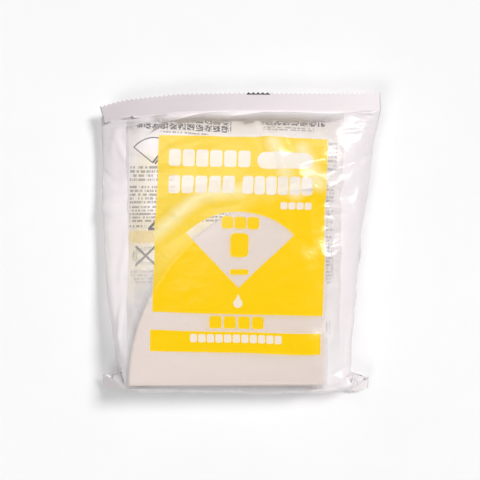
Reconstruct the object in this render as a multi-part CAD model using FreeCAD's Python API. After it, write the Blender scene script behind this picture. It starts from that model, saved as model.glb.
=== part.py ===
"""Pack of cone coffee filters: a sealed film pouch lying on its back, with a stack of quarter-disc filters in it.

Millimetres, +Z up, the printed front facing +Z, the top seal towards +Y.
The origin is on the surface the pack lies on, under the middle of its outline.
"""

import FreeCAD
import Part

import math
import os

Vector = FreeCAD.Vector

# Filters: each is a folded quarter disc of paper, closed by a crimped seam.
FILTER_COUNT = 100
PLY = 0.16
FILTER_RADIUS = 124.0
SEAM_WIDTH = 8.0
CRIMP_PITCH = 3.1
CRIMP_WIDTH = 1.3
CRIMP_DEPTH = 0.5
CRIMP_MARGIN = 1.0
TIP_CUT = 3.0
FOLD_ROUND = 1.6

# Film pouch: a tube of film with a fin seal down its back and a flat seal across each end.
FILM = 0.2
WELD = 2 * FILM
POCKET_GAP = 0.1
TOP_SEAL = 10.5
BOTTOM_SEAL = 10.0
FIN_WIDTH = 13.0
FIN_ROOT = -0.5
TOOTH_PITCH = 3.0
TOOTH_HEIGHT = 1.2

# Room that the film leaves round the stack.
REST_GAP = 0.15
TOP_GAP = 0.4
END_GAP = 1.5
END_WALL = 3.0
EDGE_GAP = 3.4
LEFT_ROOM = 5.0
RIGHT_ROOM = 12.0
LEFT_SLACK = 14.5
RIGHT_SLACK = 23.5
HEAD_ROOM = 51.0
TOP_SEAL_HEIGHT = 15.0
BOTTOM_SEAL_HEIGHT = 11.5
BOTTOM_SEAL_FOLD = 100.0
LEFT_EAR_TUCK = 0.5
RIGHT_EAR_TUCK = 6.0
LIFT = 12.0
BEND_REACH = 2.0

STACK_THICKNESS = FILTER_COUNT * 2 * PLY
POUCH_WIDTH = LEFT_SLACK + LEFT_ROOM + FILTER_RADIUS + RIGHT_ROOM + RIGHT_SLACK
HALF_WIDTH = POUCH_WIDTH / 2

# Heights, from the surface up: fin seal, back film, stack, front film.
BACK_HEIGHT = WELD
STACK_BOTTOM = BACK_HEIGHT + FILM + REST_GAP
STACK_TOP = STACK_BOTTOM + STACK_THICKNESS
FRONT_HEIGHT = STACK_TOP + TOP_GAP + FILM
CREASE_HALF = FILM + POCKET_GAP / 2
CREASE_HEIGHT = (BACK_HEIGHT + FRONT_HEIGHT) / 2
SEAL_INNER = HALF_WIDTH / 5
END_SLOPE = 1.25

# The outline is centred on the origin, from the folded bottom seal to the cut edge of the top seal.
FOLD_ANGLE = math.radians(BOTTOM_SEAL_FOLD)
FOLD_EDGE = WELD / 2 * math.sin(FOLD_ANGLE) + FILM * abs(math.cos(FOLD_ANGLE))
STACK_FRONT_TO_EDGE = END_GAP + END_WALL + FOLD_EDGE
PACK_LENGTH = STACK_FRONT_TO_EDGE + FILTER_RADIUS + HEAD_ROOM + TOP_SEAL
TIP_X = HALF_WIDTH - RIGHT_SLACK - RIGHT_ROOM
TIP_Y = -PACK_LENGTH / 2 + STACK_FRONT_TO_EDGE
TOP_EDGE = PACK_LENGTH / 2
TOP_ROOT = TOP_EDGE - TOP_SEAL
STACK_END = TIP_Y + FILTER_RADIUS
BOTTOM_FULL = TIP_Y - END_GAP
BOTTOM_ROOT = BOTTOM_FULL - END_WALL

# The side creases are drawn in most where the stack is widest. Each pair is a height up the stack, as a share
# of the filters' radius, and the share of that side's slack that is taken up there.
LEFT_DRAW = [(0.0, 1.0), (0.16, 0.90), (0.27, 0.71), (0.37, 0.50), (0.60, 0.28), (0.80, 0.16), (1.0, 0.13)]
RIGHT_DRAW = [(0.0, 1.0), (0.16, 0.86), (0.27, 0.74), (0.50, 0.62), (0.75, 0.47), (1.0, 0.32)]
END_DRAW = 0.9

# Where the sections of the pouch are taken: angles up the stack from its tip, and shares of the head room.
STACK_ANGLES = [4, 10, 18, 27, 36, 45, 54, 63, 72, 81, 90]
HEAD_SHARES = [0.1, 0.25, 0.4, 0.55, 0.7, 0.85]


def inset(points, distance):
    """The corners of a convex polygon, in the plane of X and Z and clockwise seen along +Y, moved inwards."""
    lines = []
    for a, b in zip(points, points[1:] + points[:1]):
        along = (b - a).normalize()
        inwards = Vector(along.z, 0, -along.x)
        lines.append((a + inwards * distance, along))
    moved = []
    for (p, u), (q, v) in zip(lines[-1:] + lines[:-1], lines):
        cross = u.x * v.z - u.z * v.x
        share = ((q.x - p.x) * v.z - (q.z - p.z) * v.x) / cross
        moved.append(p + u * share)
    return moved


def section(y, crease_left, crease_right, crease_height, front, back, wall):
    """One cross-section of the pouch: two side creases, and a front and back film with two soft bends each.

    front and back are (left x, right x, height), and wall moves the outline inwards."""
    low, high = crease_height - CREASE_HALF, crease_height + CREASE_HALF
    outline = [
        (crease_left, low, False),
        (crease_left, high, False),
        (front[0], front[2], True),
        (front[1], front[2], True),
        (crease_right, high, False),
        (crease_right, low, False),
        (back[1], back[2], True),
        (back[0], back[2], True),
    ]
    corners = [Vector(x, y, z) for x, z, _ in outline]
    if wall:
        corners = inset(corners, wall)
    points = []
    for i, corner in enumerate(corners):
        if outline[i][2]:
            before, after = corners[i - 1], corners[(i + 1) % len(corners)]
            points.append(corner + (before - corner).normalize() * BEND_REACH)
            points.append(corner + (after - corner).normalize() * BEND_REACH)
        else:
            points.append(corner)
    return Part.makePolygon(points + points[:1])


def drawn_in(table, share):
    """The share of a side's slack that is taken up, at a share of the stack's height."""
    for (a, low), (b, high) in zip(table, table[1:]):
        if share <= b:
            return low + (high - low) * (share - a) / (b - a)
    return table[-1][1]


def creases(left_taken, right_taken):
    """X of the left and right side creases, with these shares of their slack taken up."""
    return -HALF_WIDTH + LEFT_SLACK * left_taken, HALF_WIDTH - RIGHT_SLACK * right_taken


def bottom_section(wall=0.0):
    """The section just past the stack's bottom edge, full height, where the creases start to flare out."""
    left, right = creases(END_DRAW, END_DRAW)
    ends = (TIP_X - FILTER_RADIUS - EDGE_GAP, TIP_X + EDGE_GAP)
    inner = wall * END_SLOPE
    return section(BOTTOM_FULL + inner, left, right, CREASE_HEIGHT, (*ends, FRONT_HEIGHT), (*ends, BACK_HEIGHT), wall)


def body_section(angle, wall=0.0):
    """A section over the stack, where a line from the stack's tip at this angle meets its curved edge."""
    up = FILTER_RADIUS * math.sin(math.radians(angle))
    share = up / FILTER_RADIUS
    left, right = creases(drawn_in(LEFT_DRAW, share), drawn_in(RIGHT_DRAW, share))
    edge = TIP_X - math.sqrt(max(0.0, FILTER_RADIUS**2 - up**2))
    front = (min(edge, TIP_X - SEAM_WIDTH) - EDGE_GAP, TIP_X + EDGE_GAP, FRONT_HEIGHT)
    back = (min(left + LIFT, edge - EDGE_GAP), TIP_X + EDGE_GAP, BACK_HEIGHT)
    return section(TIP_Y + up, left, right, CREASE_HEIGHT, front, back, wall)


def head_section(share, wall=0.0):
    """A section above the stack, where the films close from the stack's thickness to the top seal."""
    left, right = creases(LEFT_DRAW[-1][1] * (1 - share), RIGHT_DRAW[-1][1] * (1 - share))
    height = CREASE_HEIGHT + (TOP_SEAL_HEIGHT - CREASE_HEIGHT) * share
    front = FRONT_HEIGHT + (TOP_SEAL_HEIGHT + CREASE_HALF - FRONT_HEIGHT) * share**1.2
    back = BACK_HEIGHT + (TOP_SEAL_HEIGHT - CREASE_HALF - BACK_HEIGHT) * share**1.6
    near_left, near_right = TIP_X - SEAM_WIDTH - EDGE_GAP, TIP_X + EDGE_GAP
    far_left, far_right = left + SEAL_INNER, right - SEAL_INNER
    front_left = near_left + (far_left - near_left) * share
    back_left = left + LIFT + (SEAL_INNER - LIFT) * share
    flat_right = near_right + (far_right - near_right) * share
    y = STACK_END + HEAD_ROOM * share
    return section(y, left, right, height, (front_left, flat_right, front), (back_left, flat_right, back), wall)


def seal_section(y, height, left_tuck, right_tuck, wall=0.0):
    """The flat slot in which the films meet at a seal, as wide as the flat pouch less a tuck at each side."""
    left, right = -HALF_WIDTH + left_tuck, HALF_WIDTH - right_tuck
    rise = CREASE_HALF + POCKET_GAP
    flat = (left + SEAL_INNER, right - SEAL_INNER)
    return section(y, left, right, height, (*flat, height + rise), (*flat, height - rise), wall)


def skin(wall):
    """The pouch between its end seals as one solid: its outside with no wall, its inside with the film's."""
    lip = 2 * wall
    bottom_slot = seal_section(BOTTOM_ROOT + lip, BOTTOM_SEAL_HEIGHT, LEFT_EAR_TUCK, RIGHT_EAR_TUCK, wall)
    bottom = bottom_section(wall)
    over_stack = [body_section(angle, wall) for angle in STACK_ANGLES]
    over_head = [head_section(share, wall) for share in HEAD_SHARES]
    top_slot = seal_section(TOP_ROOT - lip, TOP_SEAL_HEIGHT, 0.0, 0.0, wall)
    end_wall = Part.makeLoft([bottom_slot, bottom], True, True)
    body = Part.makeLoft([bottom, *over_stack], True, True)
    head = Part.makeLoft([over_stack[-1], *over_head, top_slot], True, True)
    return end_wall.fuse([body, head])


def toothed_band(y_root, y_edge, left, right):
    """A flat weld of two films, centred on height 0, whose far edge is cut in small teeth."""
    way = 1 if y_edge > y_root else -1
    count = round((right - left) / TOOTH_PITCH)
    pitch = (right - left) / count
    valley = y_edge - way * TOOTH_HEIGHT
    points = [Vector(left, y_root, 0), Vector(left, valley, 0)]
    for i in range(count):
        points.append(Vector(left + (i + 0.5) * pitch, y_edge, 0))
        points.append(Vector(left + (i + 1) * pitch, valley, 0))
    points.append(Vector(right, y_root, 0))
    points.append(points[0])
    band = Part.Face(Part.makePolygon(points)).extrude(Vector(0, 0, WELD))
    band.translate(Vector(0, 0, -WELD / 2))
    return band


def fin_strip():
    """The fin seal down the back, folded flat to the right, with its underside on the surface under the stack."""
    right = FIN_ROOT + FIN_WIDTH
    sink = FILM / 2
    flat = Part.makeBox(FIN_WIDTH, STACK_END - BOTTOM_FULL, WELD + sink, Vector(FIN_ROOT, BOTTOM_FULL, 0))
    wires = []
    for share in [0.0, *HEAD_SHARES, 1.0]:
        y = STACK_END + HEAD_ROOM * share
        back = BACK_HEIGHT + (TOP_SEAL_HEIGHT - CREASE_HALF - BACK_HEIGHT) * share**1.6
        corners = [
            Vector(FIN_ROOT, y, back - WELD),
            Vector(right, y, back - WELD),
            Vector(right, y, back + sink),
            Vector(FIN_ROOT, y, back + sink),
        ]
        wires.append(Part.makePolygon(corners + corners[:1]))
    return flat.fuse(Part.makeLoft(wires, True, True))


def make_pouch():
    """The film: its outside less its inside, with an end seal at the top and bottom and a fin seal on the back."""
    top_band = toothed_band(TOP_ROOT - FILM, TOP_EDGE, -HALF_WIDTH, HALF_WIDTH)
    top_band.translate(Vector(0, 0, TOP_SEAL_HEIGHT))
    bottom_band = toothed_band(FILM, -BOTTOM_SEAL, -HALF_WIDTH + LEFT_EAR_TUCK, HALF_WIDTH - RIGHT_EAR_TUCK)
    bottom_band.rotate(Vector(0, 0, 0), Vector(1, 0, 0), BOTTOM_SEAL_FOLD)
    bottom_band.translate(Vector(0, BOTTOM_ROOT, BOTTOM_SEAL_HEIGHT))
    outside = skin(0.0).fuse([top_band, bottom_band, fin_strip()])
    return outside.cut(skin(FILM))


def is_fold(edge):
    """Whether an edge is one of the two long ones along the front of the stack, where the filters are folded."""
    ends = [vertex.Point for vertex in edge.Vertexes]
    return edge.Length > FILTER_RADIUS / 2 and all(abs(end.y - TIP_Y) < 1e-6 for end in ends)


def make_stack():
    """The filters, pressed together: a quarter disc with a crimped seam up its right edge and folds along its front."""
    left = Vector(TIP_X - FILTER_RADIUS, TIP_Y, 0)
    seam_x = TIP_X - SEAM_WIDTH
    seam_up = math.sqrt(FILTER_RADIUS**2 - SEAM_WIDTH**2)
    seam_top = Vector(seam_x, TIP_Y + seam_up, 0)
    half = FILTER_RADIUS * math.sqrt(0.5)
    arc_middle = Vector(TIP_X - half, TIP_Y + half, 0)
    right_top = Vector(TIP_X, TIP_Y + seam_up, 0)
    right_cut = Vector(TIP_X, TIP_Y + TIP_CUT, 0)
    front_cut = Vector(TIP_X - TIP_CUT, TIP_Y, 0)
    outline = Part.Wire(
        [
            Part.Arc(left, arc_middle, seam_top).toShape(),
            Part.makeLine(seam_top, right_top),
            Part.makeLine(right_top, right_cut),
            Part.makeLine(right_cut, front_cut),
            Part.makeLine(front_cut, left),
        ]
    )
    stack = Part.Face(outline).extrude(Vector(0, 0, STACK_THICKNESS))
    folds = [edge for edge in stack.Edges if is_fold(edge)]
    stack = stack.makeFillet(FOLD_ROUND, folds)
    groove_count = int((seam_up - 2 * TIP_CUT) / CRIMP_PITCH)
    groove_length = SEAM_WIDTH - CRIMP_MARGIN
    grooves = []
    for i in range(groove_count):
        y = TIP_Y + 2 * TIP_CUT + i * CRIMP_PITCH
        for z in (0.0, STACK_THICKNESS - CRIMP_DEPTH):
            corner = Vector(seam_x + CRIMP_MARGIN / 2, y, z)
            grooves.append(Part.makeBox(groove_length, CRIMP_WIDTH, CRIMP_DEPTH, corner))
    stack = stack.cut(Part.makeCompound(grooves))
    stack.translate(Vector(0, 0, STACK_BOTTOM))
    return stack


os.makedirs("parts", exist_ok=True)
for name, shape in {"film_pouch": make_pouch(), "filter_stack": make_stack()}.items():
    shape.exportStep(f"parts/{name}.step")
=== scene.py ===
"""Looks of a film pouch of paper cone filters, lying on its back.

The film is one tube of cells, relaxed round the stack by a small position-based solver,
so that its slack turns into bulges and pleats as real film's does. Lengths in the solver
are millimetres; everything handed to Blender is metres.
"""

import math

import bpy
import numpy as np
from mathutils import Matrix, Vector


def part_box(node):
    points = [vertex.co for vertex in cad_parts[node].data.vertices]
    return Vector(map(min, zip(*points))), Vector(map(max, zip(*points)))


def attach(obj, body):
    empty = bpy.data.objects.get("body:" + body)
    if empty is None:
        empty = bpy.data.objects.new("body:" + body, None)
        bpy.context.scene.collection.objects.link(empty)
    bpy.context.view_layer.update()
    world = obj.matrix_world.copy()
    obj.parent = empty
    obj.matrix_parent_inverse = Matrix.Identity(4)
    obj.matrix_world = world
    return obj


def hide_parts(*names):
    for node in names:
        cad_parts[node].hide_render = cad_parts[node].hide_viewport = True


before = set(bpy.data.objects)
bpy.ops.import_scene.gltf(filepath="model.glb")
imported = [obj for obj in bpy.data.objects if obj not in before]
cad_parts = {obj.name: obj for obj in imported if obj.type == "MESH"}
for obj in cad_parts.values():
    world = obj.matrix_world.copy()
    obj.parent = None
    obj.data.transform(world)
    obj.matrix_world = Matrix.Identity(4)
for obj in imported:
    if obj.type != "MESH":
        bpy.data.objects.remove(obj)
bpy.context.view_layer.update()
MM = 0.001

# The stack and the pouch's width, from the frame
stack_low, stack_high = (np.array(corner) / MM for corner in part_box("filter_stack"))
pouch_low, pouch_high = (np.array(corner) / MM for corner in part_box("film_pouch"))
TIP = np.array([stack_high[0], stack_low[1]])
RADIUS = stack_high[0] - stack_low[0]
STACK_BOTTOM, STACK_TOP = stack_low[2], stack_high[2]
WIDTH = pouch_high[0] - pouch_low[0]

# The filters, and the crimped seams down their right edges, which take less room
FILTERS = 100
SEAM = 8.0
SEAM_BAND = 10.0
SEAM_DIP = 5.0

# The film's flat pattern: u runs across it from its middle, v up it from the bottom weld's root.
# The back film's u starts at FLAT_BACK, well away from the front's.
ACROSS = 180
CELL = WIDTH / ACROSS
BOTTOM_ROWS, BODY_ROWS, TOP_ROWS = 10, 198, 12
BODY_LENGTH = BODY_ROWS * CELL
FLAT_BACK = 1000.0
FIN_FROM, FIN_TO, FIN_CELLS = -0.5, 12.5, 6

# The solver: the film's least gap to anything, how firmly cells resist being pressed and bent,
# the rounding and room at the stack's edges, spare size of the cells and how it varies, and air
GAP = 0.3
PRESS = 0.9
BEND = 0.035
CREASE_BEND = 0.3
ROUND = 3.5
SIDE_ROOM = 1.5
SLACK = 0.008
UNEVEN = 0.022
COARSE_PUFF, FINE_PUFF = 0.0028, 0.0016
COARSE_STEPS, FINE_STEPS, QUICK_STEPS = 500, 260, 60
COARSE_GUIDE, FINE_GUIDE = 0.03, 0.02
KEPT_SPEED = 0.9
WEIGHT = 0.002
FILM_FLOOR = 0.45

# The bottom weld's root and the top weld's cut edge, as x, y, z
BOTTOM_ROOT_LINE = [
    (-88.0, -86.0, 9.0),
    (-80.0, -87.5, 10.5),
    (-70.0, -92.0, 12.5),
    (-55.0, -94.6, 13.5),
    (0.0, -95.2, 14.0),
    (48.0, -94.8, 13.5),
    (62.0, -92.5, 12.0),
    (74.0, -88.5, 10.0),
    (82.5, -87.0, 8.5),
]
TOP_EDGE_LINE = [
    (-89.5, 86.4, 13.0),
    (-73.6, 90.7, 14.5),
    (-39.5, 94.2, 15.5),
    (3.0, 95.0, 16.0),
    (54.5, 94.5, 16.5),
    (89.3, 95.2, 15.0),
]
# The pouch's side creases, seen from above: y, then x of each at that y
LEFT_Y = [-86.0, -82.7, -70.0, -57.0, -44.5, -32.0, -12.7, 6.0, 25.0, 44.5, 70.0, 90.0]
LEFT_X = [-79.0, -71.5, -74.5, -79.5, -83.5, -86.0, -88.5, -90.0, -90.5, -91.2, -91.0, -89.5]
RIGHT_Y = [-87.0, -82.7, -70.0, -57.0, -44.5, -32.0, -12.7, 6.0, 25.0, 44.5, 70.0, 90.0]
RIGHT_X = [76.0, 66.0, 66.0, 68.0, 69.5, 71.5, 73.5, 76.0, 81.0, 86.0, 88.5, 89.5]
CREASE_HEIGHT = 13.5

# The first shape: film from the bottom root to the stack's top, then over the stack;
# heights of the side creases along the body and at the top, and the back film's height
WALL_RUN = 17.0
STACK_RUN = 126.0
BODY_MIDDLE, TOP_MIDDLE = 16.5, 15.5
BACK_HEIGHT = 0.6

# Where the bottom weld turns from hanging down to standing out as an ear, as a share of its width
EAR_FROM, EAR_TURN = 0.33, 0.14


def along(points, count):
    """count points evenly spaced on a smooth line through these."""
    points = np.array(points, float)
    lengths = np.concatenate([[0], np.cumsum(np.linalg.norm(np.diff(points, axis=0), axis=1))])
    fine = np.linspace(0, lengths[-1], 400)
    line = np.stack([np.interp(fine, lengths, points[:, k]) for k in range(3)], 1)
    for _ in range(60):
        line[1:-1] = (line[:-2] + 2 * line[1:-1] + line[2:]) / 4
    lengths = np.concatenate([[0], np.cumsum(np.linalg.norm(np.diff(line, axis=0), axis=1))])
    even = np.linspace(0, lengths[-1], count)
    return np.stack([np.interp(even, lengths, line[:, k]) for k in range(3)], 1)


def smooth(x):
    x = np.clip(x, 0, 1)
    return x * x * (3 - 2 * x)


def weld_rows(n, rows_bottom, rows_top, cell):
    """Both welds' rows: the bottom's from cut edge to root, the top's from root to cut edge."""
    share = np.linspace(0, 1, n + 1)
    root = along(BOTTOM_ROOT_LINE, n + 1)
    turn = smooth((np.abs(share - 0.5) - EAR_FROM) / EAR_TURN)[:, None]
    down = np.array([0.0, 0.1, -1.0])
    out = np.array([0.0, -0.82, -0.5])
    way = down * (1 - turn) + out * turn
    way /= np.linalg.norm(way, axis=1)[:, None]
    ripple = 0.5 * np.sin(share * 41 + 1.0) * np.sin(share * 17)
    bottom = []
    for k in range(rows_bottom, -1, -1):
        row = root + way * (k * cell)
        row[:, 1] += ripple * k / rows_bottom
        row[:, 2] = np.maximum(row[:, 2], BACK_HEIGHT)
        bottom.append(row)
    edge = along(TOP_EDGE_LINE, n + 1)
    tangent = np.gradient(edge, axis=0)
    back = np.stack([tangent[:, 1], -tangent[:, 0], np.zeros(n + 1)], 1)
    back /= np.linalg.norm(back, axis=1)[:, None]
    top = []
    for k in range(rows_top, -1, -1):
        row = edge + back * (k * cell)
        row[:, 2] += 0.35 * np.sin(share * 23 + 0.6) * (1 - k / rows_top)
        top.append(row)
    return np.array(bottom), np.array(top)


def set_welds(tube, n, bottom, top):
    """Writes the welds' rows into the tube, its front film a little above its back film."""
    for rows_at, band in ((0, bottom), (len(tube) - len(top), top)):
        for k, row in enumerate(band):
            tube[rows_at + k, : n + 1] = row + [0, 0, 0.1]
            tube[rows_at + k, n + 1 :] = (row - [0, 0, 0.1])[1:-1][::-1]


def section_line(corners, y, count):
    """count points evenly spaced along an open line of (x, z) corners, all at one y."""
    corners = np.array(corners, float)
    lengths = np.concatenate([[0], np.cumsum(np.linalg.norm(np.diff(corners, axis=0), axis=1))])
    even = np.linspace(0, lengths[-1], count)
    x = np.interp(even, lengths, corners[:, 0])
    z = np.interp(even, lengths, corners[:, 1])
    return np.stack([x, np.full(count, y), z], 1)


def first_shape(n, rows_bottom, rows_body, rows_top, cell):
    """The tube before it relaxes: hexagon-like sections round the stack, welded flat at both ends."""
    bottom, top = weld_rows(n, rows_bottom, rows_top, cell)
    tube = np.zeros((rows_bottom + rows_body + rows_top + 1, 2 * n, 3))
    head = BODY_LENGTH - WALL_RUN - STACK_RUN
    y_full, y_end = TIP[1] - 2.4, TIP[1] + RADIUS + 1.0
    root_y, top_y = bottom[-1][:, 1], top[0][:, 1]
    for i in range(rows_body + 1):
        v = i * cell
        share = 1.0
        if v < WALL_RUN:
            share = smooth(v / WALL_RUN) ** 0.6
            y = root_y[n // 2] + (y_full - root_y[n // 2]) * share
        elif v < BODY_LENGTH - head:
            y = y_full + (v - WALL_RUN) * (y_end - y_full) / (BODY_LENGTH - head - WALL_RUN)
        else:
            y = y_end + (v - BODY_LENGTH + head) * (top_y[n // 2] - y_end) / head
        up = np.clip(y - TIP[1], 0, RADIUS)
        edge = TIP[0] - math.sqrt(max(0.0, RADIUS**2 - up**2))
        left = np.interp(y, LEFT_Y, LEFT_X)
        right = np.interp(y, RIGHT_Y, RIGHT_X)
        closing = np.clip((v - BODY_LENGTH + head) / head, 0, 1)
        middle = BODY_MIDDLE + (TOP_MIDDLE - BODY_MIDDLE) * closing
        front_z = STACK_TOP + 0.8 + (middle - STACK_TOP - 0.8) * closing**1.15
        back_z = BACK_HEIGHT + (middle - BACK_HEIGHT) * closing**1.3
        front_left = min(edge, TIP[0] - 8) - 1.0
        front_left += (left * 0.75 - front_left) * closing
        right_bend = TIP[0] + 2.0 + (right * 0.8 - TIP[0] - 2.0) * closing
        back_left = left + (10 if v > WALL_RUN else 6)
        left_crease, right_crease = (left, middle), (right, middle)
        front = [left_crease, (front_left, front_z), (right_bend, front_z), right_crease]
        front = section_line(front, y, n + 1)
        back = [left_crease, (back_left, back_z), (right_bend, back_z), right_crease]
        back = section_line(back, y, n + 1)
        if v < WALL_RUN:
            front = bottom[-1] + (front - bottom[-1]) * share
            back = bottom[-1] + (back - bottom[-1]) * share
            front[:, 1] = root_y + (y - root_y) * share
            back[:, 1] = front[:, 1]
        near_top = smooth(closing)
        for side in (front, back):
            side[:, 1] += (top_y - top_y[n // 2]) * near_top
            side[:, 1] += (root_y - root_y[n // 2]) * smooth(1 - (v - WALL_RUN) / 40) * (v >= WALL_RUN)
        tube[rows_bottom + i, : n + 1] = front
        tube[rows_bottom + i, n + 1 :] = back[1:-1][::-1]
    set_welds(tube, n, bottom, top)
    return tube


def uneven(s, v, seed):
    """A smooth field over the flat film, repeating round the tube: how much larger each cell is."""
    rng = np.random.default_rng(seed)
    field = np.zeros(np.broadcast(s, v).shape)
    for _ in range(70):
        length = rng.uniform(11, 55)
        angle = rng.uniform(0, 2 * math.pi)
        turns = round(2 * WIDTH / length * math.cos(angle))
        k = 2 * math.pi * turns / (2 * WIDTH)
        phase = rng.uniform(0, 6.28)
        field += (length / 55) ** 0.5 * np.sin(k * s + 2 * math.pi / length * math.sin(angle) * v + phase)
    return SLACK + UNEVEN * field / 6


def pull(a, b, length, tension, press):
    """Moves for the ends of many edges towards their length, weaker where they are too short."""
    d = b - a
    now = np.sqrt((d * d).sum(-1, keepdims=True)) + 1e-9
    off = (now - length) / now
    d *= np.where(off > 0, tension, press) * 0.5 * off
    return d


def stack_height(x):
    """Top of the stack, which dips over the seams."""
    return STACK_TOP - SEAM_DIP * smooth((x - TIP[0] + SEAM_BAND) / SEAM_BAND)


def keep_clear(x, body, n):
    """Moves points out of the stack, the front film above the back film, and both above the surface."""
    across = x[..., 0] - TIP[0]
    up = x[..., 1] - TIP[1]
    reach = np.hypot(across, up)
    beyond = np.stack([across, -up, reach - RADIUS], -1) - SIDE_ROOM
    which = beyond.argmax(-1)
    side = beyond.max(-1) + ROUND
    above = x[..., 2] > (STACK_TOP + STACK_BOTTOM) / 2
    lift = np.where(above, x[..., 2] - stack_height(x[..., 0]), STACK_BOTTOM - x[..., 2]) + ROUND
    outside = np.hypot(np.maximum(side, 0), np.maximum(lift, 0))
    deep = np.where(outside > 0, outside, np.maximum(side, lift)) - ROUND
    short = np.maximum(GAP - deep, 0)
    share_side = np.where(outside > 0, np.maximum(side, 0) / (outside + 1e-9), (side > lift) * 1.0)
    share_up = np.where(outside > 0, np.maximum(lift, 0) / (outside + 1e-9), (side <= lift) * 1.0)
    away_x = np.where(which == 0, 1, np.where(which == 1, 0, across / (reach + 1e-9)))
    away_y = np.where(which == 0, 0, np.where(which == 1, -1, up / (reach + 1e-9)))
    away = np.zeros_like(x)
    away[..., 0] = away_x * share_side
    away[..., 1] = away_y * share_side
    away[..., 2] = np.where(above, 1, -1) * share_up
    x += away * short[..., None]
    front = np.arange(1, n)
    under = 2 * n - front
    low, high = x[body][:, under, 2], x[body][:, front, 2]
    overlap = np.maximum(GAP - (high - low), 0) * 0.5
    x[body.start : body.stop, front, 2] += overlap
    x[body.start : body.stop, under, 2] -= overlap
    x[..., 2] = np.maximum(x[..., 2], FILM_FLOOR)


def surface_normal(x, dv):
    du = np.roll(x, -1, 1) - np.roll(x, 1, 1)
    normal = np.cross(du, dv)
    return normal / (np.linalg.norm(normal, axis=2, keepdims=True) + 1e-9)


def hold_size(x, size_u, size_v, diagonal):
    """Draws every cell's sides and diagonals to their lengths, in sets of edges that share no point."""
    for start in (0, 1):
        move = pull(x[:, start::2], np.roll(x, -1, 1)[:, start::2], size_u[:, start::2], 1.0, PRESS)
        x[:, start::2] += move
        if start == 0:
            x[:, 1::2] -= move
        else:
            x[:, 2::2] -= move[:, :-1]
            x[:, 0] -= move[:, -1]
    for start in (0, 1):
        a, b = x[start:-1:2], x[start + 1 :: 2]
        move = pull(a, b, size_v[start:-1:2], 1.0, PRESS)
        a += move
        b -= move
    for turn in (1, -1):
        for start in (0, 1):
            a = x[start:-1:2]
            b = np.roll(x[start + 1 :: 2], -turn, 1)
            move = pull(a, b, diagonal[start:-1:2], 0.7, PRESS * 0.6)
            a += move
            x[start + 1 :: 2] -= np.roll(move, turn, 1)


def stay_smooth(x, n):
    """Stiffness against bending, less across the two side creases."""
    bend = (np.roll(x, 1, 1) + np.roll(x, -1, 1)) * 0.5 - x
    bend[:, 0] *= CREASE_BEND
    bend[:, n] *= CREASE_BEND
    x += bend * BEND
    x[1:-1] += ((x[2:] + x[:-2]) * 0.5 - x[1:-1]) * BEND


def relax(tube, rows_bottom, rows_top, cell, steps, pressure, guide):
    """Lets the tube find its shape: cells keep their size, and it clears the stack and itself."""
    rows, columns, _ = tube.shape
    n = columns // 2
    x = tube.copy()
    last = x.copy()
    held = np.zeros(rows, bool)
    held[: rows_bottom + 1] = True
    held[rows - rows_top - 1 :] = True
    pinned = x[held].copy()
    v = np.arange(rows)[:, None] * cell
    s = np.arange(columns)[None, :] * cell
    size_u = cell * (1 + uneven(s, v, 11))[..., None]
    size_v = cell * (1 + uneven(s, v, 12))[..., None]
    diagonal = np.hypot(size_u, size_v)
    body = slice(rows_bottom + 1, rows - rows_top - 1)
    for step in range(steps):
        speed = (x - last) * KEPT_SPEED
        last = x.copy()
        dv = np.zeros_like(x)
        dv[1:-1] = x[2:] - x[:-2]
        x += speed + surface_normal(x, dv) * pressure
        x[..., 2] -= WEIGHT
        for _ in range(2):
            hold_size(x, size_u, size_v, diagonal)
        stay_smooth(x, n)
        if step < steps * 0.8:
            for column, *line in ((0, LEFT_Y, LEFT_X), (n, RIGHT_Y, RIGHT_X)):
                want = np.interp(x[body, column, 1], *line)
                x[body, column, 0] += (want - x[body, column, 0]) * guide
                x[body, column, 2] += (CREASE_HEIGHT - x[body, column, 2]) * guide * 0.5
        keep_clear(x, body, n)
        x[held] = pinned
    return x


def finer(tube):
    """Twice as many cells each way."""
    rows, columns, _ = tube.shape
    wide = np.zeros((rows, 2 * columns, 3))
    wide[:, ::2] = tube
    wide[:, 1::2] = (tube + np.roll(tube, -1, 1)) / 2
    tall = np.zeros((2 * rows - 1, 2 * columns, 3))
    tall[::2] = wide
    tall[1::2] = (wide[:-1] + wide[1:]) / 2
    return tall


def film_shape():
    """The relaxed tube, first with coarse cells and then with fine ones."""
    n, rows_bottom, rows_body, rows_top = (k // 2 for k in (ACROSS, BOTTOM_ROWS, BODY_ROWS, TOP_ROWS))
    tube = first_shape(n, rows_bottom, rows_body, rows_top, 2 * CELL)
    rng = np.random.default_rng(7)
    rows, columns, _ = tube.shape
    v = np.arange(rows)[:, None] * 2 * CELL
    c = np.arange(columns)[None, :]
    from_crease = np.minimum(np.minimum(c, columns - c), np.abs(c - n)) * 2 * CELL
    near = np.exp(-((from_crease / 22) ** 2))
    wave = sum(np.sin(v / p + q) for p, q in ((4.1, 0.4), (5.7, 2.0), (7.9, 4.4)))
    tube[..., 2] += near * wave * 0.5 + rng.normal(0, 0.12, (rows, columns))
    tube = relax(tube, rows_bottom, rows_top, 2 * CELL, COARSE_STEPS, COARSE_PUFF, COARSE_GUIDE)
    tube = finer(tube)
    set_welds(tube, ACROSS, *weld_rows(ACROSS, BOTTOM_ROWS, TOP_ROWS, CELL))
    steps = FINE_STEPS
    return relax(tube, BOTTOM_ROWS, TOP_ROWS, CELL, steps, FINE_PUFF, FINE_GUIDE)


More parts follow.
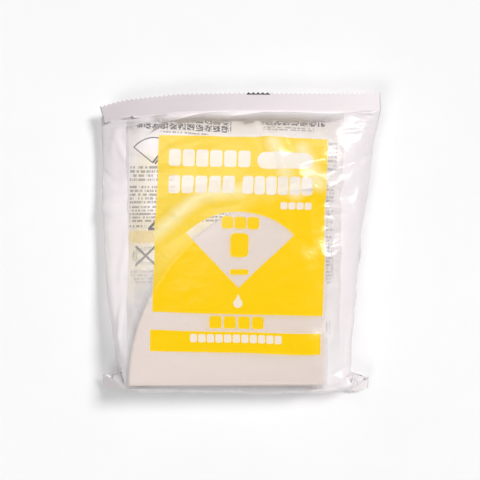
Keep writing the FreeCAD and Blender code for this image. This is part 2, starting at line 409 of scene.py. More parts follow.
# Folds that the photograph shows, in the flat film: u, v, angle in degrees, length, width, height
FOLDS = [
    (-42, 119, 34, 30, 9, 3.2),
    (-20, 137, 14, 32, 9, 3.0),
    (-46, 158, 4, 16, 3, 0.9),
    (24, 168, -62, 20, 9, 2.8),
    (40, 158, 20, 24, 9, 2.6),
    (46, 146, -35, 18, 7, 2.0),
    (34, 194, 3, 40, 6, 1.8),
    (-79, 176, 75, 16, 4, 1.2),
    (-74, 166, 115, 14, 3, 1.0),
    (-80, 141, 20, 14, 4, 1.3),
    (-78, 131, 4, 22, 6, 1.8),
    (-72, 96, 80, 24, 4, 1.1),
    (-66, 72, 100, 26, 4, 1.0),
    (-74, 58, 82, 26, 3, 1.0),
    (76, 170, 80, 24, 5, 1.3),
    (71, 150, 70, 18, 4, 1.1),
    (78, 130, 95, 22, 4, 0.9),
    (66, 105, 30, 14, 4, 0.8),
    (36, 36, -8, 28, 5, 1.9),
    (48, 14, 55, 12, 3, 1.0),
]
SMALL_FOLDS = 230


def fold(s, v, at_s, at_v, angle, length, wide, height):
    """One sharp-crested fold, dying away along its length."""
    ds = (s - at_s + WIDTH) % (2 * WIDTH) - WIDTH
    dv = v - at_v
    c, q = math.cos(math.radians(angle)), math.sin(math.radians(angle))
    run = (ds * c + dv * q) / length
    off = -ds * q + dv * c + 0.12 * length * run**2
    crest = np.maximum(0, 1 - np.sqrt(off**2 + 0.15) / wide)
    return height * crest * np.maximum(0, 1 - run**2) ** 1.5


def small_folds(s, v):
    """Seeded folds all over the film, fewer on the panel's lower half, which lies flat on the filters."""
    rng = np.random.default_rng(21)
    small = np.zeros(np.broadcast(s, v).shape)
    for _ in range(SMALL_FOLDS):
        length = rng.uniform(7, 24)
        wide = rng.uniform(2.5, 7.0)
        height = wide * rng.uniform(0.03, 0.16) * rng.choice([-1, 1])
        at_s, at_v, angle = rng.uniform(0, 2 * WIDTH), rng.uniform(0, BODY_LENGTH), rng.uniform(0, 180)
        small += fold(s, v, at_s, at_v, angle, length, wide, height)
    return small * (1 - 0.65 * smooth((128 - v) / 25) * smooth((150 - s) / 10) * smooth((s - 40) / 10))


def crumple(tube):
    """Creases of handled film: those the photograph shows, and smaller ones all over."""
    rows, columns, _ = tube.shape
    v = (np.arange(rows) - BOTTOM_ROWS)[:, None] * CELL
    s = np.arange(columns)[None, :] * CELL
    small = small_folds(s, v)
    large = np.zeros((rows, columns))
    for u, at_v, angle, length, wide, height in FOLDS:
        large += fold(s, v, u + WIDTH / 2, at_v, angle, length, wide, height)
    # taut where it lies on the stack, and near the welds
    lift = np.clip((tube[..., 2] - stack_height(tube[..., 0])) / 3, 0, 1)
    reach = np.hypot(tube[..., 0] - TIP[0], tube[..., 1] - TIP[1])
    on_stack = smooth((RADIUS + 3 - reach) / 8) * smooth((TIP[0] + 3 - tube[..., 0]) / 8) * (1 - lift)
    ends = smooth(v / 7) * smooth((BODY_LENGTH - v) / 7)
    height = (small * (1 - 0.88 * on_stack) + large * (1 - 0.4 * on_stack)) * ends
    tube = tube + surface_normal(tube, np.gradient(tube, axis=0)) * height[..., None]
    body = slice(BOTTOM_ROWS + 1, rows - TOP_ROWS - 1)
    for _ in range(3):
        keep_clear(tube, body, columns // 2)
    return tube


class Nodes:
    """Short ways to write a material's node tree."""

    def __init__(self, name):
        self.material = bpy.data.materials.new(name)
        self.material.use_nodes = True
        self.tree = self.material.node_tree
        self.tree.nodes.clear()

    def node(self, kind, **settings):
        made = self.tree.nodes.new(kind)
        for key, value in settings.items():
            setattr(made, key, value)
        return made

    def feed(self, socket, value):
        if isinstance(value, bpy.types.NodeSocket):
            self.tree.links.new(value, socket)
        else:
            socket.default_value = value

    def math(self, operation, *values):
        made = self.node("ShaderNodeMath", operation=operation)
        for socket, value in zip(made.inputs, values):
            self.feed(socket, value)
        return made.outputs[0]

    def plus(self, a, b):
        return self.math("ADD", a, b)

    def minus(self, a, b):
        return self.math("SUBTRACT", a, b)

    def times(self, a, b):
        return self.math("MULTIPLY", a, b)

    def over(self, a, b):
        return self.math("DIVIDE", a, b)

    def size(self, value):
        return self.math("ABSOLUTE", value)

    def vector(self, operation, *values):
        made = self.node("ShaderNodeVectorMath", operation=operation)
        for socket, value in zip(made.inputs, values):
            self.feed(socket, value)
        return made.outputs["Value" if operation == "LENGTH" else "Vector"]

    def xyz(self, x, y, z=0.0):
        made = self.node("ShaderNodeCombineXYZ")
        for socket, value in zip(made.inputs, (x, y, z)):
            self.feed(socket, value)
        return made.outputs[0]

    def split(self, vector):
        made = self.node("ShaderNodeSeparateXYZ")
        self.feed(made.inputs[0], vector)
        return made.outputs[0], made.outputs[1]

    def below(self, value, limit=0.0, soft=0.12):
        """1 where value is under limit, 0 where over, with a narrow soft edge."""
        made = self.node("ShaderNodeMapRange")
        self.feed(made.inputs["Value"], value)
        made.inputs["From Min"].default_value = limit - soft
        made.inputs["From Max"].default_value = limit + soft
        made.inputs["To Min"].default_value = 1.0
        made.inputs["To Max"].default_value = 0.0
        return made.outputs[0]

    def above(self, value, limit=0.0, soft=0.12):
        return self.minus(1.0, self.below(value, limit, soft))

    def mix(self, share, a, b):
        made = self.node("ShaderNodeMix", data_type="RGBA")
        self.feed(made.inputs["Factor"], share)
        self.feed(made.inputs["A"], a)
        self.feed(made.inputs["B"], b)
        return made.outputs["Result"]

    def between(self, share, a, b):
        made = self.node("ShaderNodeMix", data_type="FLOAT")
        self.feed(made.inputs["Factor"], share)
        self.feed(made.inputs["A"], a)
        self.feed(made.inputs["B"], b)
        return made.outputs["Result"]

    def blend(self, share, a, b):
        """Two shaders, the second by this share."""
        made = self.node("ShaderNodeMixShader")
        self.feed(made.inputs[0], share)
        self.tree.links.new(a, made.inputs[1])
        self.tree.links.new(b, made.inputs[2])
        return made.outputs[0]

    def noise(self, vector, scale, detail=2.0, rough=0.5):
        made = self.node("ShaderNodeTexNoise")
        self.feed(made.inputs["Vector"], vector)
        made.inputs["Scale"].default_value = scale
        made.inputs["Detail"].default_value = detail
        made.inputs["Roughness"].default_value = rough
        return made.outputs["Fac"]

    def any(self, *masks):
        total = masks[0]
        for mask in masks[1:]:
            total = self.math("MAXIMUM", total, mask)
        return total

    def all(self, *masks):
        total = masks[0]
        for mask in masks[1:]:
            total = self.times(total, mask)
        return total

    def without(self, mask, hole):
        return self.times(mask, self.minus(1.0, hole))

    def away(self, p, u, v):
        return self.vector("SUBTRACT", p, (u, v, 0))

    def turned(self, p, a, b):
        """Places along and beside the line from a to b, from its middle, and the line's length."""
        length = math.dist(a, b)
        x, y = self.split(self.away(p, (a[0] + b[0]) / 2, (a[1] + b[1]) / 2))
        c, s = (b[0] - a[0]) / length, (b[1] - a[1]) / length
        run = self.plus(self.times(x, c), self.times(y, s))
        off = self.plus(self.times(x, -s), self.times(y, c))
        return run, off, length

    def plate(self, p, u0, u1, v0, v1, r=0.0):
        """A rectangle with rounded corners."""
        half = ((u1 - u0) / 2 - r, (v1 - v0) / 2 - r, 10.0)
        from_centre = self.vector("ABSOLUTE", self.away(p, (u0 + u1) / 2, (v0 + v1) / 2))
        past = self.vector("MAXIMUM", self.vector("SUBTRACT", from_centre, half), (0, 0, 0))
        return self.below(self.vector("LENGTH", past), r + 0.12)

    def blocks(self, p, left, wide, low, high, r, count=1, step=0.0):
        """Rounded blocks side by side, in place of words."""
        lefts = [left + k * step for k in range(count)]
        return self.any(*[self.plate(p, at, at + wide, low, high, r) for at in lefts])

    def disc(self, p, u, v, r, soft=0.12):
        return self.below(self.vector("LENGTH", self.away(p, u, v)), r, soft)

    def ring(self, p, u, v, r, wide, flat=1.0):
        away = self.vector("MULTIPLY", self.away(p, u, v), (1, flat, 1))
        return self.below(self.size(self.minus(self.vector("LENGTH", away), r)), wide / 2)

    def stroke(self, p, a, b, wide):
        """A straight line from a to b."""
        run, off, length = self.turned(p, a, b)
        return self.plate(self.xyz(run, off), -length / 2, length / 2, -wide / 2, wide / 2, wide * 0.3)

    def dashes(self, p, u0, u1, v0, v1, pitch, fill, share):
        """Rows of short marks, as small print looks from afar."""
        u, v = self.split(p)
        row = self.over(self.minus(v, v0), pitch)
        at = self.xyz(u, self.times(self.math("FLOOR", row), 3.7), v0 * 0.37)
        marks = self.below(self.noise(at, 1.0, 1.0), share - 0.12, 0.03)
        line = self.below(self.size(self.minus(self.math("FRACT", row), 0.5)), fill / 2, 0.06)
        return self.all(marks, line, self.plate(p, u0, u1, v0, v1))

    def upward(self, normal, share):
        """A normal turned part of the way to straight up: milky film scatters light round its folds."""
        kept = self.vector("MULTIPLY", normal, (1 - share, 1 - share, 1 - share))
        return self.vector("NORMALIZE", self.vector("ADD", kept, (0, 0, share)))

    def matt(self, colour, normal, rough, specular):
        body = self.node("ShaderNodeBsdfPrincipled")
        self.feed(body.inputs["Base Color"], colour)
        self.feed(body.inputs["Normal"], normal)
        body.inputs["Roughness"].default_value = rough
        body.inputs["Specular IOR Level"].default_value = specular
        return body.outputs[0]

    def clear(self, colour):
        made = self.node("ShaderNodeBsdfTransparent")
        self.feed(made.inputs["Color"], colour)
        return made.outputs[0]

    def film(self, colour, cover, normal, matt_normal, passing, through):
        """Milky film: some of the light goes straight through, and the rest is scattered both ways."""
        glow = self.node("ShaderNodeBsdfTranslucent")
        self.feed(glow.inputs["Color"], colour)
        milk = self.blend(through, self.matt(colour, matt_normal, 0.6, 0.0), glow.outputs[0])
        whole = self.blend(cover, self.clear(passing), milk)
        shine = self.node("ShaderNodeBsdfPrincipled")
        shine.inputs["Base Color"].default_value = (1, 1, 1, 1)
        shine.inputs["Metallic"].default_value = 1.0
        shine.inputs["Roughness"].default_value = FILM_ROUGHNESS
        self.feed(shine.inputs["Normal"], normal)
        fresnel = self.node("ShaderNodeFresnel")
        fresnel.inputs["IOR"].default_value = 1.5
        self.feed(fresnel.inputs["Normal"], normal)
        return self.blend(fresnel.outputs[0], whole, shine.outputs[0])

    def out(self, shader):
        end = self.node("ShaderNodeOutputMaterial")
        self.tree.links.new(shader, end.inputs["Surface"])

    def bump(self, height, strength, distance):
        made = self.node("ShaderNodeBump")
        made.inputs["Strength"].default_value = strength
        made.inputs["Distance"].default_value = distance * MM
        self.feed(made.inputs["Height"], height)
        return made.outputs[0]

    def object_place(self):
        return self.node("ShaderNodeTexCoord").outputs["Object"]

    def flat(self, back=False):
        """Millimetres in the film's flat pattern."""
        uv = self.node("ShaderNodeUVMap", uv_map="flat").outputs[0]
        p = self.vector("MULTIPLY", uv, (1 / MM, 1 / MM, 0))
        return self.away(p, FLAT_BACK, 0) if back else p

    def printed(self):
        """The front print's own frame, which lies a little askew on the film."""
        u, v = self.split(self.flat())
        across = self.minus(u, self.times(self.minus(v, 119.0), LEAN))
        return self.xyz(across, self.plus(v, self.times(u, SLOPE)))


# The film: colours of its parts, and how much of each hides what lies behind it
FILM_ROUGHNESS = 0.28
MILK_SOFT = 0.5
FIELD_THROUGH, EDGE_THROUGH, INK_THROUGH = 0.08, 0.04, 0.06
BACK_FIELD_THROUGH, BACK_EDGE_THROUGH = 0.06, 0.12
LAVENDER = (0.985, 0.925, 0.945, 1)
# painted shade: darker tones of the margin film, for its upper left and for its right side
LAVENDER_PAINTED_SHADE = (0.79, 0.733, 0.762, 1)
LAVENDER_RIGHT_PAINTED_SHADE = (0.88, 0.822, 0.842, 1)
WELDED = (1.0, 0.935, 0.945, 1)
# the top weld: deeper where two films lie together, with painted shade growing towards its left end
WELDED_TOP_AND_SHADE = (0.71, 0.645, 0.667, 1), (0.92, 0.852, 0.872, 1)
MILK = (0.99, 0.955, 0.96, 1)
BACK_MILK = (0.985, 0.955, 0.955, 1)
WHITE_INK = (1.0, 0.93, 0.84, 1)
YELLOW = (1.0, 0.645, 0.001, 1)
# painted light: a lighter yellow over the air gap, for light that comes through from behind
YELLOW_PAINTED_BACKLIGHT = (1.0, 0.70, 0.05, 1)
# painted sheen: a pale yellow for streaks where folds of the film catch the light
SHEEN_YELLOW_PAINTED = (1.0, 0.86, 0.42, 1)
PALE_YELLOW = (0.98, 0.80, 0.36, 1)
BLACK = (0.035, 0.03, 0.035, 1)
# the clear field's share of milky film, and the larger share where the film is made milkier as painted
# light over the shade inside the pouch
CLEAR_COVER, HAZE_OVER_SHADE_COVER = 0.2, 0.8
STRIP_COVER = 0.9
WHITE_COVER = 0.66
INK_COVER = 0.99
EYE_COVER = 0.97
BACK_COVER, BACK_EDGE_COVER, BLACK_COVER = 0.96, 0.9, 0.98
PASSING = (0.995, 0.985, 0.99, 1)
PASSING_INK = (1.0, 0.97, 0.75, 1)
# What a shadow ray keeps on its way through the front film
SHADOW_LEFT, SHADOW_RIGHT = (0.03, 0.03, 0.03, 1), (0.66, 0.63, 0.64, 1)
SHADOW_FIELD, SHADOW_INK = (0.95, 0.935, 0.94, 1), (0.92, 0.78, 0.35, 1)

# The front print leans and climbs across the film
LEAN = 0.0095
SLOPE = 0.014
FAN_TIP = (2.55, 80.85)
FAN_RADIUS = 46.8
# The field between the margins: its low and high end, and its sides
FIELD_LOW, FIELD_HIGH = 3.0, 195.5
FIELD_LEFT, FIELD_RIGHT = -68.0, 66.2
# The back print's lines climb across the film
BACK_SLOPE = 0.07


def weld_mask(n, v):
    return n.any(n.below(v, -0.4, 0.4), n.above(v, BODY_LENGTH + 0.4, 0.4))


def web_colour(n, p, milk, outside):
    """Milky inside the printed field, lavender outside it, and deeper where two films are joined; painted
    shade darkens the margins towards the upper left and on the right, and the top weld towards its left
    end.
    """
    u, v = n.split(p)
    # the top weld deepens from right to left, as painted shade
    weld_and_shade = n.mix(n.plus(n.over(u, 160.0), 0.5), *WELDED_TOP_AND_SHADE)
    weld_and_shade = n.mix(n.below(v, 100.0, 1.0), weld_and_shade, WELDED)
    # painted shade on the margins: darker towards the upper left, and a darker tone on the right
    down = n.over(n.minus(190.0, v), 80.0)
    margin = n.mix(n.plus(down, n.over(n.plus(u, 80.0), 60.0)), LAVENDER_PAINTED_SHADE, LAVENDER)
    margin = n.mix(n.below(u, 70.0, 12.0), LAVENDER_RIGHT_PAINTED_SHADE, margin)
    return n.mix(weld_mask(n, v), n.mix(outside, milk, margin), weld_and_shade)


def outside_field(n, p):
    """The film's margins, which carry more white than the field between them."""
    u, v = n.split(p)
    lean = n.times(n.math("MAXIMUM", n.minus(v, 110.0), 0.0), 0.049)
    left = n.below(n.plus(u, lean), FIELD_LEFT, 0.25)
    right = n.above(u, FIELD_RIGHT, 0.25)
    return n.any(left, right, n.below(v, FIELD_LOW, 0.25), n.above(v, FIELD_HIGH, 0.25))


def film_bump(n, p):
    """Small crinkles of handled film, and the ribs of the welds."""
    v = n.split(p)[1]
    crinkle = n.noise(n.vector("MULTIPLY", p, (0.09, 0.11, 0)), 1.0, 3.0, 0.55)
    grain = n.noise(p, 0.9, 2.0)
    rib = n.times(n.math("SINE", n.times(v, 2 * math.pi / 1.5)), weld_mask(n, v))
    height = n.plus(n.plus(crinkle, n.times(grain, 0.03)), n.times(rib, 0.05))
    return n.bump(height, 0.5, 0.9)


# Painted sheen on the yellow ink, where its folds catch the light: the ends of short soft-edged bands, in
# the flat film
PAINTED_SHEEN_BANDS = [
    ((-50, 113), (-37, 124)),
    ((-36, 126), (-22, 137)),
    ((-20, 138), (2, 141)),
    ((22, 172), (30, 152)),
    ((40, 168), (50, 146)),
    ((36, 140), (50, 150)),
]


# painted sheen: soft-edged bands where the yellow is painted paler
def painted_sheen(n, p):
    bands = []
    for a, b in PAINTED_SHEEN_BANDS:
        run, off, length = n.turned(p, a, b)
        past = n.math("MAXIMUM", n.minus(n.size(run), length / 2), 0.0)
        bands.append(n.below(n.vector("LENGTH", n.xyz(past, off)), 3.4, 3.2))
    return n.any(*bands)


def front_print(n, p):
    """Masks of the yellow ink and of the white ink."""
    panel = n.plate(p, -50.0, 55.0, 64.75, 175.7)
    band = n.plate(p, -51.4, 53.3, 40.9, 53.65)
    # a quarter disc standing on its tip, and a drop under it
    u, v = n.split(n.away(p, *FAN_TIP))
    fan = n.all(n.below(n.minus(n.size(u), v)), n.disc(p, *FAN_TIP, FAN_RADIUS))
    u, v = n.split(n.away(p, 2.3, 77.2))
    point = n.below(n.plus(n.size(u), n.times(v, 0.46)))
    drop = n.any(n.disc(p, 2.3, 71.4, 2.75), n.all(point, n.plate(p, -5, 9, 72.6, 77.4)))
    title = n.any(
        n.blocks(p, -43.0, 7.2, 156.2, 166.6, 1.6, 6, 8.6),
        n.blocks(p, 11.8, 33.9, 155.4, 165.8, 5.1),
        n.blocks(p, -42.8, 7.1, 139.0, 150.2, 1.6, 5, 8.5),
        n.blocks(p, 3.4, 6.2, 139.0, 150.2, 1.6, 6, 7.2),
        n.blocks(p, 27.0, 3.9, 130.0, 134.2, 0.8, 4, 4.9),
    )
    words = n.blocks(p, -26.2, 4.0, 47.2, 52.0, 0.9, 11, 5.15)
    marks = n.any(
        n.blocks(p, -8.6, 7.0, 117.2, 124.6, 1.8, 3, 7.8),
        n.blocks(p, -3.0, 11.0, 99.8, 114.4, 3.0),
        n.blocks(p, -2.7, 11.0, 89.0, 92.2, 0.8),
        n.blocks(p, -14.5, 7.0, 55.9, 63.3, 1.4, 4, 8.5),
    )
    ink = n.any(n.without(n.any(panel, band), n.any(fan, drop, title, words)), marks)
    return ink, n.any(title, words, drop)


def front_film():
    n = Nodes("film_front")
    p = n.printed()
    ink, white = front_print(n, p)
    q = n.flat()
    u, v = n.split(q)
    edge = BODY_LENGTH + TOP_ROWS * CELL
    eye = n.plate(q, 4.9, 19.4, edge - 1.5, edge + 3)
    outside = outside_field(n, q)
    strip = n.times(outside, n.between(n.noise(q, 0.05, 2.0), 0.8, 1.1))
    # the ink covers more where the film lies on the filters; over the air gap it is painted a lighter
    # yellow, as painted light coming through from behind
    touching = n.all(n.disc(q, 54, 19.4, 121.0, 3.0), n.below(u, 56.0, 2.0))
    patchy = n.between(touching, n.between(n.noise(p, 0.2, 3.0, 0.6), 0.88, 0.96), INK_COVER)
    # the yellow, with painted sheen streaks in a paler tone
    yellow = n.mix(painted_sheen(n, q), n.mix(touching, YELLOW_PAINTED_BACKLIGHT, YELLOW), SHEEN_YELLOW_PAINTED)
    # film gathered near the welds hides what lies behind it, and is made opaque there as painted light
    # over the shade inside the pouch
    corner = n.all(n.below(u, -54.0, 4.0), n.above(v, 186.0, 3.0))
    pucker_over_shade = n.any(n.above(v, 191.0, 3.5), n.below(v, 16.5, 4.5), corner)
    dense = n.any(outside, pucker_over_shade)
    colour = n.mix(white, web_colour(n, q, MILK, dense), WHITE_INK)
    colour = n.mix(eye, n.mix(ink, colour, yellow), BLACK)
    # painted light: the film is made milkier over the gaps low down and on the right of the stack, hiding
    # the shade inside them
    low_or_right = n.any(n.below(v, 80.0, 40.0), n.times(n.above(u, 57.0, 3.0), 0.35))
    haze_over_shade = n.between(n.without(low_or_right, touching), CLEAR_COVER, HAZE_OVER_SHADE_COVER)
    cover = n.between(n.any(strip, pucker_over_shade), haze_over_shade, STRIP_COVER)
    cover = n.between(white, cover, WHITE_COVER)
    cover = n.between(ink, cover, patchy)
    cover = n.between(eye, cover, EYE_COVER)
    passing = n.mix(ink, PASSING, PASSING_INK)
    through = n.between(dense, n.between(ink, FIELD_THROUGH, INK_THROUGH), EDGE_THROUGH)
    normal = film_bump(n, q)
    film = n.film(colour, cover, normal, n.upward(normal, MILK_SOFT), passing, through)
    # what thin film scatters forward still reaches what lies behind it
    side = n.mix(n.below(u, 0.0, 60.0), SHADOW_RIGHT, SHADOW_LEFT)
    shadow = n.mix(outside, n.mix(ink, SHADOW_FIELD, SHADOW_INK), side)
    path = n.node("ShaderNodeLightPath")
    n.out(n.blend(path.outputs["Is Shadow Ray"], film, n.clear(shadow)))
    return n.material


# Small print on the back: left, right, low, high, line pitch, share of the pitch inked, share of marks
SMALL_PRINT = [
    (16, 48, 179.4, 182.4, 1.5, 0.6, 0.64),
    (-69, -40, 146.8, 157.4, 2.65, 0.62, 0.66),
    (-69, -40, 132.6, 144.6, 2.4, 0.62, 0.66),
    (-69, -4, 120.6, 131.8, 2.24, 0.6, 0.66),
    (-69, -58, 117.0, 119.6, 2.6, 0.6, 0.66),
    (-68, -40, 81.6, 90.6, 2.25, 0.6, 0.66),
    (52, 63.6, 154.4, 173.2, 2.7, 0.62, 0.66),
    (52, 62.6, 134.4, 146.2, 2.36, 0.62, 0.66),
    (52, 62.2, 116.0, 130.4, 2.4, 0.62, 0.66),
    (52, 62.0, 82.0, 113.6, 2.25, 0.62, 0.66),
    (56, 63.2, 27.0, 47.0, 2.0, 0.5, 0.62),
    (-69, -64, 49.0, 55.6, 2.2, 0.5, 0.62),
]
SMALL_DARKNESS = 0.65
CORNER_DARKNESS = 0.6


def back_words(n, q, tilted):
    """Bold rows of glyph-like blots, and the fainter small print."""
    u = n.split(q)[0]
    glyphs = n.below(n.noise(n.vector("MULTIPLY", q, (0.8, 0.8, 1)), 1.0, 1.0), 0.54, 0.03)
    cells = n.below(n.math("FRACT", n.over(u, 5.6)), 0.86, 0.03)
    rows = n.any(
        n.plate(tilted, -72, -5, 182.9, 188.2),
        n.plate(tilted, -66, -5, 177.4, 181.9),
        n.plate(q, 15, 55, 183.6, 188.0),
    )
    small = [n.dashes(q, *row) for row in SMALL_PRINT]
    small.append(n.dashes(tilted, -50, -20, 174.4, 176.6, 2.2, 0.5, 0.64))
    return n.any(n.all(glyphs, cells, rows), n.times(n.any(*small), SMALL_DARKNESS))


def folded_filter(n, q):
    """A drawing of a folded filter with its seam."""
    tip = (-54.9, 159.1)
    u, v = n.split(n.away(q, *tip))
    over_sides = n.above(n.minus(v, n.times(n.size(u), 0.78)))
    return n.any(
        n.all(n.ring(q, *tip, 16.0, 0.8), over_sides),
        n.stroke(q, (-67.5, 169.0), tip, 0.45),
        n.stroke(q, tip, (-45.0, 171.7), 1.0),
        n.stroke(q, (-53.4, 158.4), (-43.6, 170.8), 1.0),
    )


def crossed_oval(n, q):
    return n.any(
        n.ring(q, -57.0, 99.4, 9.6, 0.5, 1.8),
        n.ring(q, -57.0, 99.4, 7.8, 0.4, 1.8),
        n.stroke(q, (-65.0, 105.4), (-52, 93.4), 1.2),
        n.stroke(q, (-65.0, 93.4), (-52, 105.4), 1.2),
    )


def back_marks(n, q):
    """A box's corner, a row of bars and a small triangle's two sides."""
    corner = n.any(
        n.stroke(q, (-69.4, 62.0), (-61.6, 62.0), 0.4),
        n.stroke(q, (-69.4, 57.4), (-63.0, 57.4), 0.4),
        n.stroke(q, (-61.6, 62.0), (-61.6, 60.0), 0.4),
    )
    return n.any(
        n.times(corner, CORNER_DARKNESS),
        n.plate(q, 57.5, 58.3, 50, 58, 0.3),
        n.plate(q, 59.2, 60.0, 51, 57, 0.3),
        n.plate(q, 60.9, 61.7, 50, 58, 0.3),
        n.stroke(q, (-56.6, 116.4), (-52.0, 121.2), 1.5),
        n.stroke(q, (-57.0, 116.4), (-51.0, 116.4), 1.5),
    )


def back_film():
    n = Nodes("film_back")
    q = n.flat(True)
    u, v = n.split(q)
    tilted = n.xyz(u, n.plus(v, n.times(u, BACK_SLOPE)))
    black = n.any(back_words(n, q, tilted), folded_filter(n, q), crossed_oval(n, q), back_marks(n, q))
    stripe = n.plate(q, -69.2, -51.0, 107.6, 115.2, 0.6)
    outside = outside_field(n, q)
    colour = n.mix(stripe, web_colour(n, q, BACK_MILK, outside), PALE_YELLOW)
    colour = n.mix(black, colour, BLACK)
    cover = n.between(black, n.between(outside, BACK_COVER, BACK_EDGE_COVER), BLACK_COVER)
    through = n.between(outside, BACK_FIELD_THROUGH, BACK_EDGE_THROUGH)
    normal = film_bump(n, q)
    n.out(n.film(colour, cover, normal, normal, PASSING, through))
    return n.material


def paper():
    n = Nodes("filter_paper")
    p = n.vector("MULTIPLY", n.object_place(), (1 / MM, 1 / MM, 1 / MM))
    crepe = n.noise(n.vector("MULTIPLY", p, (0.6, 2.2, 1.0)), 1.0, 3.0, 0.6)
    fibre = n.noise(p, 3.2, 3.0, 0.65)
    shade = n.mix(n.noise(p, 0.12, 3.0), (0.625, 0.558, 0.512, 1), (0.66, 0.588, 0.542, 1))
    normal = n.bump(n.plus(crepe, n.times(fibre, 0.5)), 0.5, 0.25)
    n.out(n.matt(shade, normal, 0.92, 0.2))
    return n.material


def cut_teeth(tube):
    """The saw-toothed cut edges of both welds."""
    for row, toward in ((0, 1), (-1, -2)):
        valley = np.arange(tube.shape[1]) % 3 != 0
        tube[row, valley] += (tube[toward, valley] - tube[row, valley]) * 0.95
    return tube


def back_point(tube, row, u):
    """A point of the back film, at a distance from the middle of the film."""
    n = tube.shape[1] // 2
    k = 2 * n - (u + WIDTH / 2) / CELL
    low = int(math.floor(k))
    share = k - low
    return tube[row, low] * (1 - share) + tube[row, (low + 1) % (2 * n)] * share


def add_fin(points, faces, uvs, tube):
    """The fin seal down the back, folded flat under it."""
    start = len(points)
    steps = np.linspace(FIN_FROM, FIN_TO, FIN_CELLS + 1)
    for row in range(BOTTOM_ROWS, BOTTOM_ROWS + BODY_ROWS + 1):
        for k, u in enumerate(steps):
            point = back_point(tube, row, u).copy()
            point[2] = max(point[2] - 0.28, 0.12) if k else point[2] - 0.02
            points.append(point)
    wide = len(steps)
    for i in range(BODY_ROWS):
        for k in range(wide - 1):
            a = start + i * wide + k
            faces.append((a, a + wide, a + wide + 1, a + 1))
            v0, v1 = i * CELL, (i + 1) * CELL
            u0, u1 = FLAT_BACK + steps[k], FLAT_BACK + steps[k + 1]
            uvs.append([(u0, v0), (u0, v1), (u1, v1), (u1, v0)])


def tube_faces(tube):
    """The tube's faces, their corners in the flat pattern, and which of them are back film."""
    rows, columns, _ = tube.shape
    n = columns // 2
    index = np.arange(rows * columns).reshape(rows, columns)
    right = np.roll(index, -1, 1)
    faces = np.stack([index[:-1], right[:-1], right[1:], index[1:]], -1).reshape(-1, 4)
    r, k = np.meshgrid(np.arange(rows - 1), np.arange(columns), indexing="ij")
    is_back = k >= n
    u0 = np.where(is_back, 2 * n - k, k) * CELL - WIDTH / 2
    u1 = np.where(is_back, 2 * n - k - 1, k + 1) * CELL - WIDTH / 2
    v0 = (r - BOTTOM_ROWS) * CELL
    v1 = v0 + CELL
    uv = np.stack([np.stack(corner, -1) for corner in ((u0, v0), (u1, v0), (u1, v1), (u0, v1))], -2)
    uv[..., 0] += np.where(is_back, FLAT_BACK, 0.0)[..., None]
    return faces.tolist(), uv.reshape(-1, 4, 2).tolist(), is_back.reshape(-1).tolist()


def add_mesh(name, points, faces, materials):
    """An object made from points in millimetres."""
    mesh = bpy.data.meshes.new(name)
    mesh.from_pydata((np.array(points) * MM).tolist(), [], faces)
    for material in materials:
        mesh.materials.append(material)
    thing = bpy.data.objects.new(name, mesh)
    bpy.context.scene.collection.objects.link(thing)
    return thing


def make_film(tube):
    faces, uvs, sides = tube_faces(tube)
    points = list(tube.reshape(-1, 3))
    add_fin(points, faces, uvs, tube)
    sides += [True] * (len(faces) - len(sides))
    film = add_mesh("film_wrap", points, faces, [front_film(), back_film()])
    layer = film.data.uv_layers.new(name="flat")
    layer.data.foreach_set("uv", (np.array(uvs) * MM).reshape(-1).astype(np.float32))
    for polygon, side in zip(film.data.polygons, sides):
        polygon.use_smooth = True
        polygon.material_index = int(side)
    film.data.update()
    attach(film, "root")
    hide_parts("film_pouch")


def filter_outline(rng, from_face):
    """One filter's outline, a little out of line; those at the stack's faces are drawn in."""
    turns = 44
    inset = 1.2 * (1 - math.sqrt(min(1.0, from_face / 1.2)))
    radius = RADIUS - 0.4 + rng.uniform(-0.6, 0.35) - inset
    right = rng.uniform(0.0, 0.35) + inset * 0.7
    low = rng.uniform(0.0, 0.35) + inset * 0.7
    corner = math.sqrt(radius**2 - SEAM**2)
    ring = [(-3.0, 0.0), (0.0, 3.0), (0.0, corner), (-SEAM * 0.5, corner), (-SEAM, corner)]
    start = math.pi / 2 + math.asin(SEAM / radius)
    for angle in np.linspace(start, math.pi, turns)[1:]:
        ring.append((radius * math.cos(angle), radius * math.sin(angle)))
    return [(TIP[0] + min(x, -right), TIP[1] + max(y, low)) for x, y in ring]


def make_filters():
    rng = np.random.default_rng(3)
    pitch = (STACK_TOP - STACK_BOTTOM) / FILTERS
    points, faces = [], []
    for i in range(FILTERS):
        ring = filter_outline(rng, min(i, FILTERS - 1 - i) * pitch)
        m = len(ring)
        base = len(points)
        for z in (i * pitch, i * pitch + pitch * 0.88):
            for x, y in ring:
                dip = float(smooth((x - TIP[0] + SEAM_BAND) / SEAM_BAND))
                points.append((x, y, STACK_BOTTOM + z * (1 - SEAM_DIP / (STACK_TOP - STACK_BOTTOM) * dip)))
        for k in range(m):
            faces.append((base + k, base + (k + 1) % m, base + m + (k + 1) % m, base + m + k))
        faces.append(tuple(base + k for k in reversed(range(m))))
        faces.append(tuple(base + m + k for k in range(m)))
    stack = add_mesh("filters", points, faces, [paper()])
    stack.data.update()
    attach(stack, "root")
    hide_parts("filter_stack")


# The room: its light, dimmer straight overhead, where the flat film would mirror it
WORLD, OVERHEAD = 0.22, 0.03
OVERHEAD_FROM, OVERHEAD_TO = 0.74, 0.95
FLOOR_HALF = 3000.0

# The camera looks straight down and sees this many millimetres of the surface from side to side
CAMERA_HEIGHT = 800.0
SEEN = 311.5
SENSOR = 36


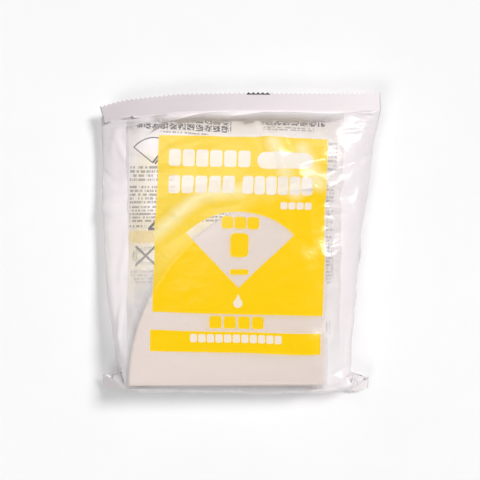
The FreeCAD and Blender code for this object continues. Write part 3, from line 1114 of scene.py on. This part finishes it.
def make_floor():
    a = FLOOR_HALF
    n = Nodes("floor")
    place = n.object_place()
    colour = n.mix(n.noise(place, 9.0, 6.0, 0.62), (0.885, 0.885, 0.89, 1), (0.945, 0.945, 0.945, 1))
    normal = n.bump(n.noise(place, 60.0, 8.0, 0.7), 0.25, 0.8)
    n.out(n.matt(colour, normal, 0.95, 0.1))
    corners = [(-a, -a, 0), (a, -a, 0), (a, a, 0), (-a, a, 0)]
    add_mesh("floor", corners, [(0, 1, 2, 3)], [n.material])


def make_world():
    """A soft room, darkest straight overhead."""
    world = bpy.data.worlds.new("room")
    bpy.context.scene.world = world
    world.use_nodes = True
    tree = world.node_tree
    place = tree.nodes.new("ShaderNodeTexCoord")
    split = tree.nodes.new("ShaderNodeSeparateXYZ")
    ramp = tree.nodes.new("ShaderNodeMapRange")
    tree.links.new(place.outputs["Generated"], split.inputs[0])
    tree.links.new(split.outputs[2], ramp.inputs["Value"])
    ramp.interpolation_type = "SMOOTHSTEP"
    ramp.inputs["From Min"].default_value = OVERHEAD_FROM
    ramp.inputs["From Max"].default_value = OVERHEAD_TO
    ramp.inputs["To Min"].default_value = WORLD
    ramp.inputs["To Max"].default_value = OVERHEAD
    tree.links.new(ramp.outputs[0], tree.nodes["Background"].inputs["Strength"])
    tree.nodes["Background"].inputs["Color"].default_value = (1, 1, 1, 1)


def make_lamp(name, energy, angle, turn, shine):
    """A distant lamp, turned from straight overhead; without shine it leaves no highlight."""
    sun = bpy.data.lights.new(name, "SUN")
    sun.energy = energy
    sun.angle = math.radians(angle)
    lamp = bpy.data.objects.new(name, sun)
    bpy.context.scene.collection.objects.link(lamp)
    lamp.rotation_euler = [math.radians(a) for a in turn]
    lamp.visible_glossy = shine
    return lamp


def make_camera():
    camera = bpy.data.objects.new("camera", bpy.data.cameras.new("camera"))
    bpy.context.scene.collection.objects.link(camera)
    camera.location = (0.0, 0.9 * MM, CAMERA_HEIGHT * MM)
    camera.data.sensor_width = SENSOR
    camera.data.lens = SENSOR * CAMERA_HEIGHT / SEEN
    bpy.context.scene.camera = camera


make_film(cut_teeth(crumple(film_shape())))
make_filters()
make_floor()
make_world()
make_camera()
make_lamp("key", 1.9, 16, (-22, 35, 0), True)
make_lamp("softbox", 0.43, 28, (-19, -18, 0), True)
make_lamp("low", 0.7, 30, (32, -26, 0), False)
# the fill casts no shadow, so that it reaches the inside of the pouch
fill = make_lamp("fill", 0.4, 10, (0, 0, 0), False)
fill.data.use_shadow = False
bpy.context.scene.view_settings.view_transform = "Standard"
